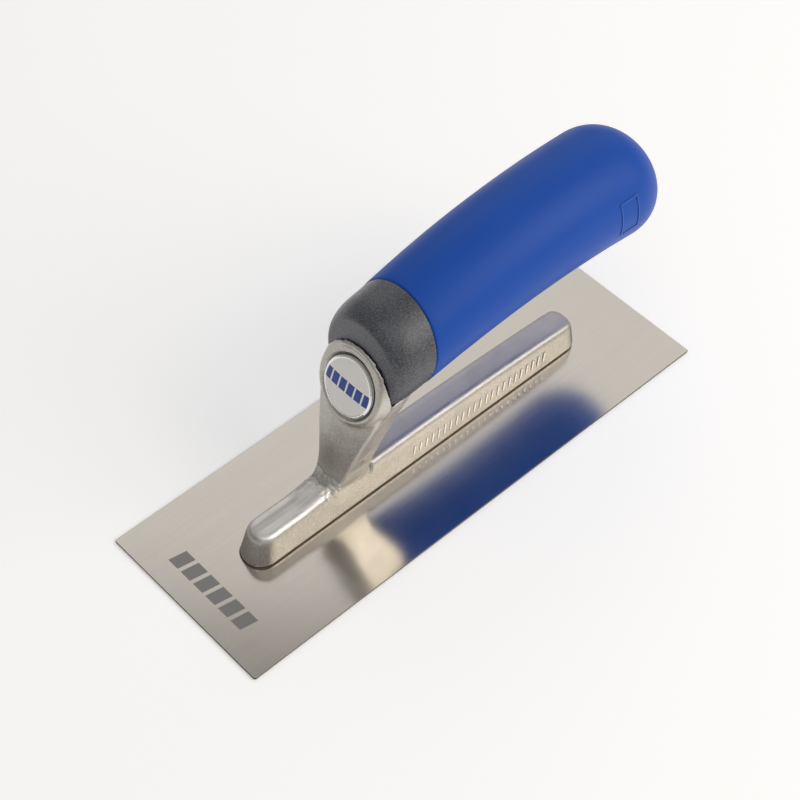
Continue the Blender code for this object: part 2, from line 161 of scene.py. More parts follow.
# The studio
FLOOR_SIZE = 12
FLOOR_DROP = 0.2 * MM
FLOOR_GLOW = 0.27
ROOM_STRENGTH = 0.34
LIGHTS_AIM_Z = 30 * MM
CAMERA_PLACE = (-0.28678, -0.28246, 0.51362)
CAMERA_LENS = 86.85
CAMERA_TURN = math.radians(-44.677)
CAMERA_TILT = math.radians(39.325)
CAMERA_ROLL = math.radians(2.2116)


# ---------------------------------------------------------------- modelling helpers


def clear_selection():
    bpy.ops.object.select_all(action="DESELECT")


def pick(obj):
    """Makes obj the only selected and active object."""
    clear_selection()
    obj.hide_viewport = False
    obj.select_set(True)
    bpy.context.view_layer.objects.active = obj
    return obj


def named(name):
    obj = bpy.context.active_object
    obj.name = name
    obj.data.name = name
    return obj


def settle(obj):
    """Moves an object's place, turn and scale into its mesh."""
    pick(obj)
    bpy.ops.object.transform_apply(location=True, rotation=True, scale=True)
    return obj


def finish_with(obj, kind, **settings):
    """Adds one modifier, sets it and applies it."""
    pick(obj)
    modifier = obj.modifiers.new(kind.lower(), kind)
    for key, value in settings.items():
        setattr(modifier, key, value)
    bpy.ops.object.modifier_apply(modifier=modifier.name)
    return obj


def face_outwards(obj):
    pick(obj)
    bpy.ops.object.mode_set(mode="EDIT")
    bpy.ops.mesh.select_all(action="SELECT")
    bpy.ops.mesh.remove_doubles(threshold=1e-6)
    bpy.ops.mesh.normals_make_consistent(inside=False)
    bpy.ops.object.mode_set(mode="OBJECT")
    return obj


def smooth(obj, angle):
    pick(obj)
    bpy.ops.object.shade_smooth_by_angle(angle=math.radians(angle))
    return obj


def place(obj, slot, surface, *nodes):
    """Gives a piece its finish, its body and the CAD nodes that it stands for."""
    obj.data.materials.clear()
    obj.data.materials.append(surface)
    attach(obj, BODY)
    if nodes:
        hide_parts(*nodes)
    return obj


def draw_out(name, stations):
    """A round body drawn out ring by ring. A station is (x, z, radius, lean)."""
    x, z, radius, lean = stations[0]
    clear_selection()
    bpy.ops.mesh.primitive_circle_add(
        vertices=ROUND_SIDES,
        radius=radius,
        fill_type="NGON",
        location=(x, 0, z),
        rotation=(0, math.pi / 2 + lean, 0),
    )
    obj = settle(named(name))
    pick(obj)
    bpy.ops.object.mode_set(mode="EDIT")
    bpy.ops.mesh.select_mode(type="EDGE")
    bpy.ops.mesh.select_all(action="SELECT")
    for old, new in zip(stations, stations[1:]):
        step = (new[0] - old[0], 0, new[1] - old[1])
        bpy.ops.mesh.extrude_region_move(TRANSFORM_OT_translate={"value": step})
        centre = (new[0], 0, new[1])
        ratio = new[2] / old[2]
        bpy.ops.transform.resize(value=(ratio, ratio, ratio), center_override=centre)
        turn = new[3] - old[3]
        if abs(turn) > 1e-6:
            bpy.ops.transform.rotate(value=-turn, orient_axis="Y", center_override=centre)
    bpy.ops.mesh.edge_face_add()
    bpy.ops.object.mode_set(mode="OBJECT")
    return face_outwards(obj)


# ---------------------------------------------------------------- shader helpers


class Tree:
    """Short ways to add and join nodes in one node tree."""

    def __init__(self, tree):
        self.tree = tree

    def add(self, kind, **settings):
        node = self.tree.nodes.new(kind)
        for key, value in settings.items():
            setattr(node, key, value)
        return node

    def feed(self, socket, value):
        if isinstance(value, bpy.types.NodeSocket):
            self.tree.links.new(value, socket)
        else:
            socket.default_value = value

    def maths(self, operation, *values):
        node = self.add("ShaderNodeMath", operation=operation)
        for socket, value in zip(node.inputs, values):
            self.feed(socket, value)
        return node.outputs[0]

    def spread(self, value, low, high, out_low=0.0, out_high=1.0):
        """Maps a value smoothly from low..high to out_low..out_high."""
        node = self.add("ShaderNodeMapRange", interpolation_type="SMOOTHSTEP")
        for socket, item in zip(node.inputs, (value, low, high, out_low, out_high)):
            self.feed(socket, item)
        return node.outputs[0]

    def blend(self, factor, first, second, mode="MIX"):
        node = self.add("ShaderNodeMix", data_type="RGBA", blend_type=mode)
        self.feed(node.inputs["Factor"], factor)
        self.feed(node.inputs["A"], first)
        self.feed(node.inputs["B"], second)
        return node.outputs["Result"]

    def noise(self, vector, scale, detail, roughness):
        node = self.add("ShaderNodeTexNoise")
        self.feed(node.inputs["Vector"], vector)
        self.feed(node.inputs["Scale"], scale)
        self.feed(node.inputs["Detail"], detail)
        self.feed(node.inputs["Roughness"], roughness)
        return node.outputs["Fac"]

    def stretch(self, vector, scale, shift=(0, 0, 0)):
        node = self.add("ShaderNodeMapping")
        self.feed(node.inputs["Vector"], vector)
        node.inputs["Scale"].default_value = scale
        node.inputs["Location"].default_value = shift
        return node.outputs["Vector"]

    def parts(self, vector):
        node = self.add("ShaderNodeSeparateXYZ")
        self.feed(node.inputs[0], vector)
        return node.outputs

    def place_coordinates(self):
        return self.add("ShaderNodeTexCoord").outputs["Object"]

    def group(self, group, **values):
        node = self.add("ShaderNodeGroup", node_tree=group)
        for key, value in values.items():
            self.feed(node.inputs[key.replace("_", " ")], value)
        return node.outputs

    def bump(self, height, strength, distance, normal=None):
        node = self.add("ShaderNodeBump")
        node.inputs["Strength"].default_value = strength
        node.inputs["Distance"].default_value = distance
        self.feed(node.inputs["Height"], height)
        if normal:
            self.feed(node.inputs["Normal"], normal)
        return node.outputs["Normal"]


def new_group(name, inputs, outputs):
    """Starts a shader node group with float or vector inputs and float outputs."""
    tree = bpy.data.node_groups.new(name, "ShaderNodeTree")
    for label, kind, value in inputs:
        socket = tree.interface.new_socket(label, in_out="INPUT", socket_type=kind)
        if value is not None:
            socket.default_value = value
    for label in outputs:
        tree.interface.new_socket(label, in_out="OUTPUT", socket_type="NodeSocketFloat")
    into = tree.nodes.new("NodeGroupInput")
    out = tree.nodes.new("NodeGroupOutput")
    return tree, Tree(tree), into.outputs, out.inputs


VECTOR = "NodeSocketVector"
FLOAT = "NodeSocketFloat"


def make_grain_group():
    """Fine and broad unevenness that every finish here has."""
    tree, t, given, out = new_group(
        "surface_grain",
        [("Vector", VECTOR, None), ("Fine Scale", FLOAT, 3000.0), ("Broad Scale", FLOAT, 60.0)],
        ["Fine", "Broad", "Specks"],
    )
    fine = t.noise(given["Vector"], given["Fine Scale"], 3.0, 0.6)
    broad = t.noise(given["Vector"], given["Broad Scale"], 4.0, 0.55)
    speck_scale = t.maths("MULTIPLY", given["Fine Scale"], 0.55)
    specks = t.noise(given["Vector"], speck_scale, 1.0, 0.5)
    t.feed(out["Fine"], fine)
    t.feed(out["Broad"], broad)
    t.feed(out["Specks"], t.spread(specks, 0.56, 0.72))
    return tree


def make_wear_and_crease_shade_group():
    """Masks for worn edges and for painted shade in creases, from the shape's own curvature."""
    tree, t, given, out = new_group(
        "edge_wear_and_crease_shade",
        [("Edge Start", FLOAT, 0.52), ("Edge Full", FLOAT, 0.60), ("Breakup", FLOAT, 0.5)],
        ["Edge", "Crease"],
    )
    curve = t.add("ShaderNodeNewGeometry").outputs["Pointiness"]
    uneven = t.maths("MULTIPLY_ADD", given["Breakup"], 0.03, t.maths("ADD", curve, -0.015))
    t.feed(out["Edge"], t.spread(uneven, given["Edge Start"], given["Edge Full"]))
    t.feed(out["Crease"], t.spread(curve, 0.48, 0.42))
    return tree


def make_brushing_group():
    """Long fine lines left by brushing along X."""
    tree, t, given, out = new_group(
        "brushing_lines",
        [("Vector", VECTOR, None)],
        ["Lines", "Bands"],
    )
    fine = t.noise(t.stretch(given["Vector"], (40, 5200, 5200)), 1.0, 3.0, 0.6)
    wide = t.noise(t.stretch(given["Vector"], (9, 420, 420)), 1.0, 3.0, 0.55)
    t.feed(out["Lines"], fine)
    t.feed(out["Bands"], wide)
    return tree


GRAIN = make_grain_group()
WEAR_AND_CREASE_SHADE = make_wear_and_crease_shade_group()
BRUSHING = make_brushing_group()


def new_finish(name, **constants):
    """Starts a material; constants go on the shader's own sockets."""
    made = bpy.data.materials.new(name)
    made.use_nodes = True
    shader = made.node_tree.nodes["Principled BSDF"]
    for key, value in constants.items():
        shader.inputs[key.replace("_", " ")].default_value = value
    return made, Tree(made.node_tree), shader


def blade_steel():
    """Satin rolled stainless steel with a faint lengthwise grain, an etched mark and a painted dark
    reflection on its thin side walls.
    """
    made, t, shader = new_finish("satin_stainless_steel", Metallic=1.0)
    where = t.place_coordinates()
    x, y = t.parts(where)[:2]
    grain = t.group(GRAIN, Vector=where, Fine_Scale=2600.0, Broad_Scale=24.0)
    lines = t.group(BRUSHING, Vector=where)
    colour = t.blend(grain["Broad"], (0.61, 0.565, 0.505, 1), (0.67, 0.62, 0.555, 1))
    colour = t.blend(t.spread(lines["Bands"], 0.3, 0.7, 0.0, 0.22), colour, (0.56, 0.54, 0.51, 1))
    up = t.parts(t.add("ShaderNodeNewGeometry").outputs["Normal"])[2]
    mark = t.maths("MULTIPLY", etched_mark(t, x, y), t.spread(up, 0.5, 0.9))
    colour = t.blend(mark, colour, (0.29, 0.285, 0.28, 1))
    # Painted dark reflection: the thin side walls, found by their normals, are darkened.
    wall = t.spread(t.maths("ABSOLUTE", up), 0.99, 0.88)
    colour = t.blend(wall, colour, (0.10, 0.09, 0.08, 1))
    t.feed(shader.inputs["Base Color"], colour)
    rough = t.spread(grain["Broad"], 0.3, 0.7, 0.135, 0.165)
    rough = t.maths("ADD", rough, t.spread(lines["Lines"], 0.3, 0.7, -0.015, 0.02))
    rough = t.maths("ADD", rough, t.maths("MULTIPLY", mark, 0.25))
    t.feed(shader.inputs["Roughness"], rough)
    t.feed(shader.inputs["Normal"], t.bump(lines["Lines"], 0.02, 0.00001))
    return made


def etched_mark(t, x, y):
    """A plain row of slanted bars etched across the blade near its front edge."""
    along = t.maths("SUBTRACT", y, MARK_CENTRE_Y)
    across = t.maths("SUBTRACT", x, MARK_X)
    slanted = t.maths("MULTIPLY_ADD", across, 0.18, along)
    cell = t.maths("DIVIDE", slanted, MARK_PITCH)
    within = t.maths("ABSOLUTE", t.maths("SUBTRACT", t.maths("FRACT", cell), 0.5))
    bar = t.spread(within, 0.40, 0.36)
    inner = t.maths("ABSOLUTE", across)
    low = t.spread(inner, MARK_HALF_HEIGHT, MARK_HALF_HEIGHT - 0.1 * MM)
    reach = MARK_PITCH * MARK_COUNT / 2
    ends = t.maths("LESS_THAN", t.maths("ABSOLUTE", slanted), reach)
    return t.maths("MULTIPLY", t.maths("MULTIPLY", bar, low), ends)


def casting_metal():
    """Cast aluminium, tumbled smooth, with brushed upper faces, worn edges and pores; its colour also holds
    painted highlights, painted light on the near flank, a painted reflection of the handle and painted shade
    in creases.
    """
    made, t, shader = new_finish("tumbled_cast_aluminium", Metallic=1.0)
    where = t.place_coordinates()
    x, y, z = t.parts(where)
    grain = t.group(GRAIN, Vector=where, Fine_Scale=2000.0, Broad_Scale=120.0)
    wear_and_painted_light = t.group(WEAR_AND_CREASE_SHADE, Breakup=grain["Broad"], Edge_Start=0.512, Edge_Full=0.555)
    lines = t.group(BRUSHING, Vector=where)
    aside, up = t.parts(t.add("ShaderNodeNewGeometry").outputs["Normal"])[1:]
    low = t.spread(z, FOOT_TOP_START, FOOT_TOP_FULL)
    brushed = t.maths("MULTIPLY", t.spread(up, 0.80, 0.95), low)
    colour = t.blend(grain["Broad"], (0.47, 0.455, 0.42, 1), (0.60, 0.575, 0.53, 1))
    grit = t.spread(grain["Fine"], 0.42, 0.60, 0.45, 0.0)
    colour = t.blend(grit, colour, (0.30, 0.285, 0.26, 1))
    colour = t.blend(t.maths("MULTIPLY", grain["Specks"], 0.2), colour, (0.74, 0.72, 0.69, 1))
    streak = t.maths("MULTIPLY", brushed, t.spread(lines["Bands"], 0.35, 0.65, 0.0, 0.55))
    colour = t.blend(streak, colour, (0.36, 0.35, 0.34, 1))
    front = t.maths("MULTIPLY", brushed, t.spread(x, -0.034, -0.044, 0.0, 0.7))
    bands = t.spread(lines["Bands"], 0.36, 0.62)
    colour = t.blend(front, colour, t.blend(bands, (0.46, 0.44, 0.42, 1), (0.92, 0.89, 0.85, 1)))
    # Painted highlight: a near-white band on the rounded near top edge of the foot's front, where the normal
    # tilts up and towards the near side.
    painted_near_edge_highlight = t.maths("MULTIPLY", t.spread(x, -0.034, -0.044), t.spread(y, -0.0018, -0.0040))
    painted_near_edge_highlight = t.maths("MULTIPLY", t.maths("MULTIPLY", painted_near_edge_highlight, t.spread(up, 0.35, 0.75)), low)
    colour = t.blend(t.maths("MULTIPLY", painted_near_edge_highlight, 0.75), colour, (0.97, 0.95, 0.91, 1))
    # Painted reflection: brushed top faces behind the neck, under the handle, are tinted darker and bluish
    # like the handle mirrored in them.
    rear = t.maths("MULTIPLY", brushed, t.spread(x, -0.022, -0.014, 0.0, 0.75))
    colour = t.blend(rear, colour, (0.46, 0.445, 0.50, 1))
    # Painted light: the lower part of the faces turned to the near side, towards the warm right softbox, is
    # made paler and warmer.
    painted_light_on_flank = t.maths("MULTIPLY", t.spread(aside, -0.45, -0.85), t.spread(z, 0.010, 0.018))
    colour = t.blend(t.maths("MULTIPLY", painted_light_on_flank, 0.6), colour, (0.78, 0.74, 0.67, 1))
    # Painted shade: a dark line drawn along the side crease, over the groove cut there in the mesh.
    above = t.maths("SUBTRACT", z, CREASE_Z)
    off_line = t.maths("SUBTRACT", x, t.maths("MULTIPLY_ADD", above, CREASE_SLOPE, CREASE_X))
    line = t.spread(t.maths("ABSOLUTE", off_line), 0.6 * MM, 0.2 * MM)
    reach = t.spread(t.maths("ABSOLUTE", above), 5.2 * MM, 3.0 * MM)
    line = t.maths("MULTIPLY", t.maths("MULTIPLY", line, reach), t.spread(y, -4 * MM, -5 * MM))
    colour = t.blend(t.maths("MULTIPLY", line, 0.7), colour, (0.10, 0.10, 0.10, 1))
    # Worn bright edges, with the mask widened on this casting so that it also paints the highlight on the
    # rounded edges.
    colour = t.blend(t.maths("MULTIPLY", wear_and_painted_light["Edge"], 0.7), colour, (0.86, 0.84, 0.80, 1))
    # Painted shade: creases and hollows, found by low curvature, are darkened.
    colour = t.blend(t.maths("MULTIPLY", wear_and_painted_light["Crease"], 0.6), colour, (0.16, 0.15, 0.14, 1))
    t.feed(shader.inputs["Base Color"], colour)
    rough = t.spread(grain["Broad"], 0.3, 0.7, 0.34, 0.46)
    rough = t.maths("SUBTRACT", rough, t.maths("MULTIPLY", wear_and_painted_light["Edge"], 0.12))
    t.feed(shader.inputs["Roughness"], rough)
    height = t.maths("MULTIPLY_ADD", grain["Specks"], 0.15, grain["Fine"])
    smooth_cast = t.bump(height, 0.6, 0.00013)
    streaks = t.maths("MULTIPLY", lines["Lines"], brushed)
    t.feed(shader.inputs["Normal"], t.bump(streaks, 0.6, 0.00006, smooth_cast))
    return made


def speckled_plastic():
    """Hard grey plastic with pale and dark specks and a fine moulded grain."""
    made, t, shader = new_finish("speckled_grey_plastic", Specular_IOR_Level=1.0)
    where = t.place_coordinates()
    grain = t.group(GRAIN, Vector=where, Fine_Scale=2300.0, Broad_Scale=130.0)
    moved = t.stretch(where, (1, 1, 1), shift=(0.3, 0.1, 0.2))
    second = t.group(GRAIN, Vector=moved, Fine_Scale=3300.0)
    colour = t.blend(grain["Broad"], (0.007, 0.010, 0.020, 1), (0.024, 0.026, 0.034, 1))
    mottle = t.spread(grain["Fine"], 0.44, 0.62, 0.0, 0.75)
    colour = t.blend(mottle, colour, (0.108, 0.116, 0.140, 1))
    colour = t.blend(t.maths("MULTIPLY", second["Specks"], 0.3), colour, (0.18, 0.185, 0.20, 1))
    t.feed(shader.inputs["Base Color"], colour)
    t.feed(shader.inputs["Roughness"], t.spread(grain["Fine"], 0.3, 0.7, 0.24, 0.34))
    height = t.maths("ADD", grain["Fine"], second["Fine"])
    t.feed(shader.inputs["Normal"], t.bump(height, 0.7, 0.00011))
    return made


def soft_grip_plastic():
    """Blue soft plastic with a silky skin, slightly paler where hands rub it, with painted shade darkening
    its creases.
    """
    made, t, shader = new_finish("silky_blue_soft_plastic", Specular_IOR_Level=0.22)
    where = t.place_coordinates()
    grain = t.group(GRAIN, Vector=where, Fine_Scale=3800.0, Broad_Scale=38.0)
    wear_and_painted_light = t.group(WEAR_AND_CREASE_SHADE, Breakup=grain["Broad"], Edge_Start=0.53, Edge_Full=0.62)
    colour = t.blend(grain["Broad"], (0.008, 0.075, 0.415, 1), (0.013, 0.089, 0.465, 1))
    colour = t.blend(t.maths("MULTIPLY", wear_and_painted_light["Edge"], 0.35), colour, (0.10, 0.20, 0.52, 1))
    # Painted shade: creases, found by low curvature, are darkened to a deep blue.
    colour = t.blend(t.maths("MULTIPLY", wear_and_painted_light["Crease"], 0.6), colour, (0.010, 0.035, 0.20, 1))
    t.feed(shader.inputs["Base Color"], colour)
    t.feed(shader.inputs["Roughness"], t.spread(grain["Broad"], 0.3, 0.7, 0.40, 0.50))
    t.feed(shader.inputs["Normal"], t.bump(grain["Fine"], 0.12, 0.00005))
    return made


def cured_adhesive():
    made, t, shader = new_finish("cured_brown_adhesive")
    where = t.place_coordinates()
    grain = t.group(GRAIN, Vector=where, Fine_Scale=2000.0, Broad_Scale=260.0)
    colour = t.blend(grain["Broad"], (0.045, 0.030, 0.018, 1), (0.17, 0.11, 0.06, 1))
    t.feed(shader.inputs["Base Color"], colour)
    t.feed(shader.inputs["Roughness"], t.spread(grain["Broad"], 0.3, 0.7, 0.30, 0.6))
    t.feed(shader.inputs["Normal"], t.bump(grain["Broad"], 0.4, 0.0002))
    return made


def on_the_badge(t, where):
    """Places on the badge: across it, up it, and out from its middle."""
    across, z = t.parts(where)[1:]
    up = t.maths("DIVIDE", t.maths("SUBTRACT", z, BADGE_Z), math.cos(BADGE_LEAN))
    radius = t.maths("SQRT", t.maths("ADD", t.maths("MULTIPLY", across, across), t.maths("MULTIPLY", up, up)))
    return across, up, radius


def print_and_painted_rim_reflection(t, where, grain):
    """Silver print with a plain blue band of bars, and a painted reflection: a dark dotted arc along the
    lower rim of the dome.
    """
    across, up, radius = on_the_badge(t, where)
    colour = t.blend(grain["Broad"], (0.81, 0.79, 0.75, 1), (0.87, 0.85, 0.81, 1))
    cell = t.maths("FRACT", t.maths("DIVIDE", t.maths("ADD", across, BAND_SHIFT), BAND_PITCH))
    bar = t.spread(t.maths("ABSOLUTE", t.maths("SUBTRACT", cell, 0.5)), 0.42, 0.38)
    height = t.maths("ABSOLUTE", t.maths("SUBTRACT", up, BAND_CENTRE))
    band = t.spread(height, BAND_HALF_HEIGHT, BAND_HALF_HEIGHT - 0.15 * MM)
    rim = t.maths("LESS_THAN", radius, PRINT_RADIUS)
    band = t.maths("MULTIPLY", t.maths("MULTIPLY", band, bar), rim)
    colour = t.blend(band, colour, (0.003, 0.045, 0.300, 1))
    # Painted reflection of the dome's edge: a dark dotted arc near the rim, on the lower part only.
    off_ring = t.maths("ABSOLUTE", t.maths("SUBTRACT", radius, DOT_RING_RADIUS))
    ring = t.spread(off_ring, 0.30 * MM, 0.2 * MM)
    lower = t.spread(up, -4.5 * MM, -5.2 * MM)
    dots = t.maths("GREATER_THAN", t.maths("FRACT", t.maths("MULTIPLY", across, DOTS_PER_METRE)), 0.5)
    ring = t.maths("MULTIPLY", t.maths("MULTIPLY", ring, lower), dots)
    return t.blend(t.maths("MULTIPLY", ring, 0.6), colour, (0.06, 0.06, 0.07, 1))


def printed_foil():
    made, t, shader = new_finish("printed_silver_foil_and_painted_rim_reflection")
    where = t.place_coordinates()
    grain = t.group(GRAIN, Vector=where, Fine_Scale=2600.0, Broad_Scale=140.0)
    t.feed(shader.inputs["Base Color"], print_and_painted_rim_reflection(t, where, grain))
    t.feed(shader.inputs["Roughness"], t.spread(grain["Fine"], 0.3, 0.7, 0.35, 0.45))
    return made


def clear_resin():
    """The badge's clear dome: the print shows through a glossy coat."""
    made, t, shader = new_finish(
        "clear_domed_resin", Coat_Weight=0.6, Coat_Roughness=0.05, Specular_IOR_Level=0.2
    )
    where = t.place_coordinates()
    radius = on_the_badge(t, where)[2]
    grain = t.group(GRAIN, Vector=where, Fine_Scale=2600.0, Broad_Scale=140.0)
    silver = t.spread(radius, SILVER_RIM_START, SILVER_RIM_FULL)
    colour = t.blend(silver, print_and_painted_rim_reflection(t, where, grain), (0.86, 0.85, 0.82, 1))
    t.feed(shader.inputs["Base Color"], colour)
    t.feed(shader.inputs["Metallic"], silver)
    t.feed(shader.inputs["Roughness"], t.spread(silver, 0.0, 1.0, 0.4, 0.16))
    return made


def stud_steel():
    made, t, shader = new_finish("turned_stud_steel", Metallic=1.0)
    where = t.place_coordinates()
    grain = t.group(GRAIN, Vector=where, Fine_Scale=2500.0, Broad_Scale=300.0)
    colour = t.blend(grain["Broad"], (0.42, 0.41, 0.40, 1), (0.58, 0.57, 0.55, 1))
    t.feed(shader.inputs["Base Color"], colour)
    t.feed(shader.inputs["Roughness"], t.spread(grain["Fine"], 0.3, 0.7, 0.25, 0.40))
    return made


# ---------------------------------------------------------------- handle


def centre_z(x):
    return CROWN_Z - BOW * (x - CROWN_X) ** 2


def grip_radius(x):
    return GRIP_FRONT_RADIUS + GRIP_TAPER * (x - GRIP_FRONT_X)


def grip_station(x, inset):
    share = max(0.0, (GRIP_UPRIGHT_X - x) / (GRIP_UPRIGHT_X - GRIP_FRONT_X))
    return (x, centre_z(x), grip_radius(x) - inset, GRIP_FRONT_LEAN * share)


def end_stations(inset, steps):
    """Stations of the rounded free end."""
    start = END_X - END_LENGTH
    widest = grip_radius(start) - inset
    made = []
    for step in range(steps + 1):
        angle = math.pi / 2 * step / (steps + 0.2)
        reach = math.sin(angle) ** (2 / END_POWER)
        x = start + (END_LENGTH - inset) * reach
        z = centre_z(x) - END_DROP * (x - start) / END_LENGTH
        made.append((x, z, widest * math.cos(angle) ** (2 / END_POWER), 0.0))
    return made


def body_stations(first_x, inset, steps):
    last_x = END_X - END_LENGTH
    made = []
    for step in range(steps):
        x = first_x + (last_x - first_x) * step / steps
        made.append(grip_station(x, inset))
    return made


def shoulder_station(share):
    end_z = centre_z(GRIP_FRONT_X)
    x = SHOULDER_FRONT_X + share * (GRIP_FRONT_X - SHOULDER_FRONT_X)
    z = SHOULDER_FRONT_Z + share * (end_z - SHOULDER_FRONT_Z)
    rounding = max(0.0, 1 - share / SHOULDER_SHARE)
    full = SHOULDER_RADIUS + share * (GRIP_FRONT_RADIUS - GAP - SHOULDER_RADIUS)
    radius = SHOULDER_FRONT_RADIUS
    radius += (full - SHOULDER_FRONT_RADIUS) * math.sqrt(1 - rounding**2)
    lean = SHOULDER_FRONT_LEAN + share * (GRIP_FRONT_LEAN - SHOULDER_FRONT_LEAN)
    return (x, z, radius, lean)


def make_grip(surface):
    """The closed blue sleeve: inner wall, rounded front lip, body and rounded end."""
    front = GRIP_FRONT_X + GAP
    inside = end_stations(GRIP_WALL, 10)[::-1] + body_stations(front + 1 * MM, GRIP_WALL, 10)[::-1]
    inside.append(grip_station(front, GRIP_WALL))
    lip = []
    for step in range(6):
        angle = math.pi / 2 * step / 5
        inset = GRIP_TRIM + GRIP_LIP * (1 - math.sin(angle))
        lip.append(grip_station(front + GRIP_LIP * (1 - math.cos(angle)), inset))
    outside = body_stations(front + 3 * MM, GRIP_TRIM, 26) + end_stations(GRIP_TRIM, 20)
    grip = draw_out("grip_sleeve_skin", inside + lip + outside)
    return place(smooth(grip, 50), "sleeve", surface, "grip_sleeve")


def make_core(surface):
    """The grey core: its rounded shoulder shows, and the rest runs on inside the grip."""
    front = SHOULDER_FRONT_X
    bore = [
        (BORE_END_X, BORE_END_Z, BORE_END_RADIUS, 0.0),
        (front + THROAT_DEPTH, THROAT_Z, THROAT_RADIUS, SHOULDER_FRONT_LEAN),
        (front + SEAT_DEPTH, SEAT_Z, SEAT_RADIUS, SHOULDER_FRONT_LEAN),
        (front - SEAT_OVERRUN, SEAT_Z, SEAT_RADIUS, SHOULDER_FRONT_LEAN),
    ]
    shoulder = [shoulder_station((step / 22) ** 1.8) for step in range(23)]
    tucked = [grip_station(GRIP_FRONT_X, GRIP_WALL + GAP)]
    tucked += body_stations(GRIP_FRONT_X + 3 * MM, GRIP_WALL + GAP, 12)
    tucked += end_stations(GRIP_WALL + GAP, 8)
    core = draw_out("core_shoulder", bore + shoulder + tucked)
    return place(smooth(core, 40), "core", surface, "handle_core")


# ---------------------------------------------------------------- bracket


def ramp(value, none, full):
    """0 at none, 1 at full and straight between them."""
    return min(1.0, max(0.0, (value - none) / (full - none)))


def make_casting(surface):
    """The casting: the bracket's form, re-skinned and eased so that every join is a fillet."""
    source = frame["nodes"]["bracket"]
    casting = source.copy()
    casting.data = source.data.copy()
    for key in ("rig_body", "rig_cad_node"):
        if key in casting:
            del casting[key]
    casting.parent = None
    bpy.context.scene.collection.objects.link(casting)
    pick(casting)
    named("bracket_casting")
    face_outwards(casting)
    finish_with(casting, "REMESH", mode="VOXEL", voxel_size=CASTING_VOXEL, adaptivity=0.0)
    soft, dressed, crease = [casting.vertex_groups.new(name=zone) for zone in CASTING_ZONES]
    for vertex in casting.data.vertices:
        x, y, z = vertex.co
        soft.add([vertex.index], ramp(z, 44 * MM, 38 * MM), "REPLACE")
        along = ramp(abs(x - CORNER_X), 5 * MM, 2 * MM)
        level = ramp(abs(z - CORNER_Z), 4 * MM, 2 * MM)
        dressed.add([vertex.index], min(along, level, ramp(abs(y), 7 * MM, 5 * MM)), "REPLACE")
        off_line = abs(x - CREASE_X - (z - CREASE_Z) * CREASE_SLOPE)
        reach = ramp(abs(z - CREASE_Z), 5 * MM, 3 * MM)
        near = min(ramp(off_line, 0.8 * MM, 0.3 * MM), reach)
        crease.add([vertex.index], min(near, ramp(y, -4 * MM, -5 * MM)), "REPLACE")
    finish_with(casting, "SMOOTH", factor=0.5, iterations=24, vertex_group=CASTING_ZONES[0])
    finish_with(casting, "SMOOTH", factor=0.5, iterations=8)
    flow = bpy.data.textures.new("rough_flow", "CLOUDS")
    flow.noise_scale = 1.3 * MM
    flow.noise_depth = 2
    finish_with(
        casting,
        "DISPLACE",
        texture=flow,
        strength=1.1 * MM,
        mid_level=0.5,
        vertex_group=CASTING_ZONES[1],
    )
    finish_with(
        casting, "DISPLACE", strength=-0.5 * MM, mid_level=0.0, vertex_group=CASTING_ZONES[2]
    )
    return place(smooth(casting, 180), "casting", surface, "bracket")


def make_relief(surface):
    """A row of low plain bars cast on the near side of the foot."""
    clear_selection()
    bpy.ops.mesh.primitive_cube_add(size=1, location=(0, 0, 0))
    bars = named("foot_relief_bars")
    bars.scale = RELIEF_BAR
    settle(bars)
    bpy.ops.object.mode_set(mode="EDIT")
    bpy.ops.mesh.select_all(action="SELECT")
    bpy.ops.mesh.bevel(offset=0.16 * MM, segments=3)
    bpy.ops.object.mode_set(mode="OBJECT")
    bars.rotation_euler = (0, RELIEF_BAR_LEAN, 0)
    settle(bars)
    finish_with(
        bars,
        "ARRAY",
        count=RELIEF_COUNT,
        use_relative_offset=False,
        use_constant_offset=True,
        constant_offset_displace=(RELIEF_PITCH, 0, 0),
    )
    bars.location = (RELIEF_START_X, RELIEF_SIDE_Y + RELIEF_SUNK, RELIEF_Z)
    bars.rotation_euler = (-FOOT_DRAFT, 0, 0)
    settle(bars)
    return place(smooth(bars, 60), "casting", surface)


def make_adhesive(surface):
    """The adhesive layer under the foot, which shows as a thin line all round its base."""
    clear_selection()
    bpy.ops.mesh.primitive_plane_add(size=1, location=(BEAD_X, 0, BEAD_BASE_Z))
    bead = named("adhesive_bead")
    bead.scale = (BEAD_LENGTH, BEAD_WIDTH, 1)
    settle(bead)
    bpy.ops.object.mode_set(mode="EDIT")
    bpy.ops.mesh.select_all(action="SELECT")
    bpy.ops.mesh.bevel(offset=BEAD_CORNER, segments=10, affect="VERTICES")
    bpy.ops.mesh.select_mode(type="FACE")
    bpy.ops.mesh.select_all(action="SELECT")
    rise = (0, 0, BEAD_THICKNESS)
    bpy.ops.mesh.extrude_region_move(TRANSFORM_OT_translate={"value": rise})
    bpy.ops.mesh.select_all(action="SELECT")
    bpy.ops.mesh.bevel(offset=0.06 * MM, segments=2)
    bpy.ops.object.mode_set(mode="OBJECT")
    return place(smooth(face_outwards(bead), 40), "adhesive", surface, "adhesive_bed")


